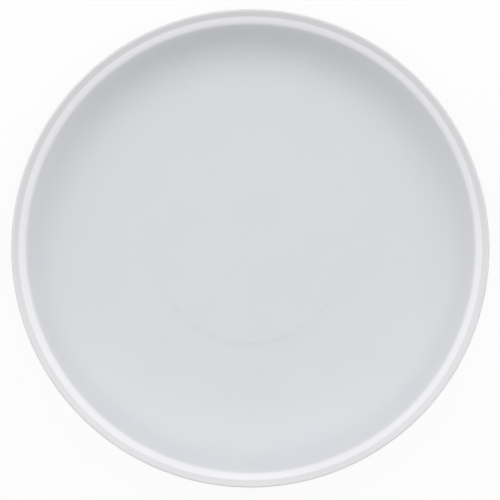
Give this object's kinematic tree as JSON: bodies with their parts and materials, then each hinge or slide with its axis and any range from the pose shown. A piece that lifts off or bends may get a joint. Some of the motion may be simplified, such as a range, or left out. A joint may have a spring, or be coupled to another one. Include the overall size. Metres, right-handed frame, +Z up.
{
  "type": "charger plate",
  "caption": "Round glazed porcelain charger plate with a wide flat well, a flared wall and a narrow rim of two bands, standing on a bare foot ring.",
  "frame": {"origin": "on the plate's axis, in the plane that the outer foot ring rests on", "axes": "+Z up along the plate's axis, out of the well; +Y is the top of the picture"},
  "size_m": [0.32, 0.32, 0.0337],
  "materials": {
    "porcelain": "bare fired porcelain, matt",
    "face_glaze": "smooth satin glaze, pale cool white, whiter along the rim's inner band",
    "base_glaze": "thinner satin glaze on the underside"
  },
  "bodies": {
    "root": {"porcelain_body": "porcelain", "face_glaze": "face_glaze", "base_ring_glaze": "base_glaze", "base_centre_glaze": "base_glaze"}
  },
  "joints": []
}
